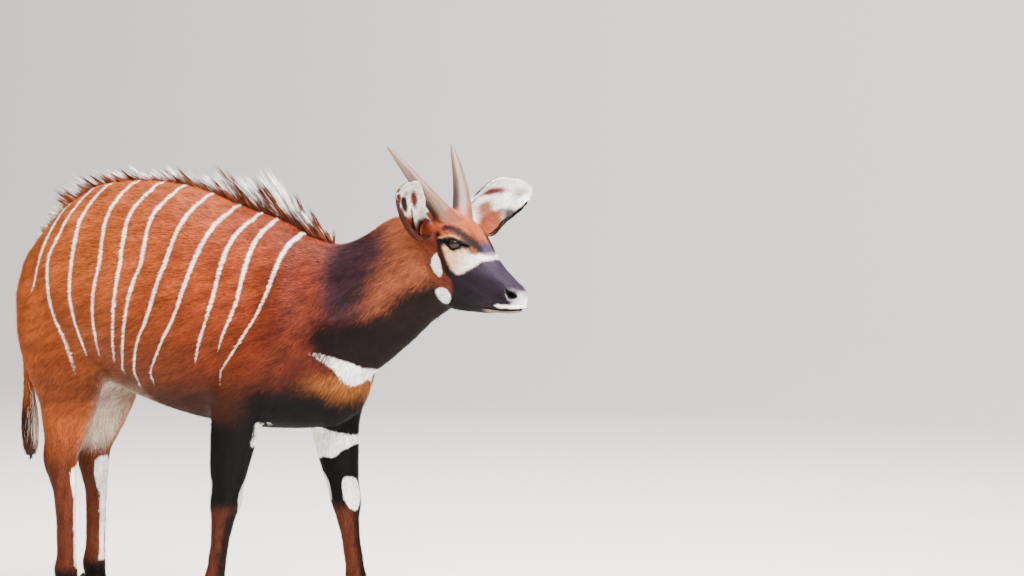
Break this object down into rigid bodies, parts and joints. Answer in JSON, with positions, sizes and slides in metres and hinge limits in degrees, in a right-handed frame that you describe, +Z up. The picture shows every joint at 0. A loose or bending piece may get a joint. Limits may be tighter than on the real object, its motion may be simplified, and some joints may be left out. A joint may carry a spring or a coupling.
{
  "type": "bongo antelope",
  "caption": "Life-size still model of a young mountain bongo standing with its head turned: striped chestnut coat, short-horned forest antelope, crested back.",
  "frame": {"origin": "on the floor under the middle of the animal's box", "axes": "+X forward along the body, +Y to the animal's left, +Z up"},
  "size_m": [1.502, 0.5904, 1.2833],
  "materials": {
    "coat": "short close glossy fur, chestnut with thin white stripes, dark neck and forelegs, white patches on face, breast and legs",
    "mane": "stiff standing hair, dark at the roots and whitish at the tips",
    "ear": "thin furred ear, rust and dark outside, white bands and a dark bare hollow inside",
    "horn": "smooth grey-brown horn with a pale keel and tip",
    "hoof": "dull dark horn",
    "eye": "wet dark brown eye with a level pupil",
    "nose": "bare damp dark skin of the nose, lips and eyelids"
  },
  "bodies": {
    "root": {"dewclaw_fore_left_inner": "hoof", "dewclaw_fore_left_outer": "hoof", "dewclaw_fore_right_inner": "hoof", "dewclaw_fore_right_outer": "hoof", "dewclaw_hind_left_inner": "hoof", "dewclaw_hind_left_outer": "hoof", "dewclaw_hind_right_inner": "hoof", "dewclaw_hind_right_outer": "hoof", "ear_left": "ear", "ear_right": "ear", "eye_left": "eye", "eye_right": "eye", "fore_cannon_left": "coat", "fore_cannon_right": "coat", "forearm_left": "coat", "forearm_right": "coat", "head": "coat", "hind_cannon_left": "coat", "hind_cannon_right": "coat", "hoof_fore_left": "hoof", "hoof_fore_right": "hoof", "hoof_hind_left": "hoof", "hoof_hind_right": "hoof", "horn_left": "horn", "horn_right": "horn", "mane": "mane", "neck": "coat", "tail": "coat", "thigh_left": "coat", "thigh_right": "coat", "trunk": "coat"}
  },
  "joints": []
}
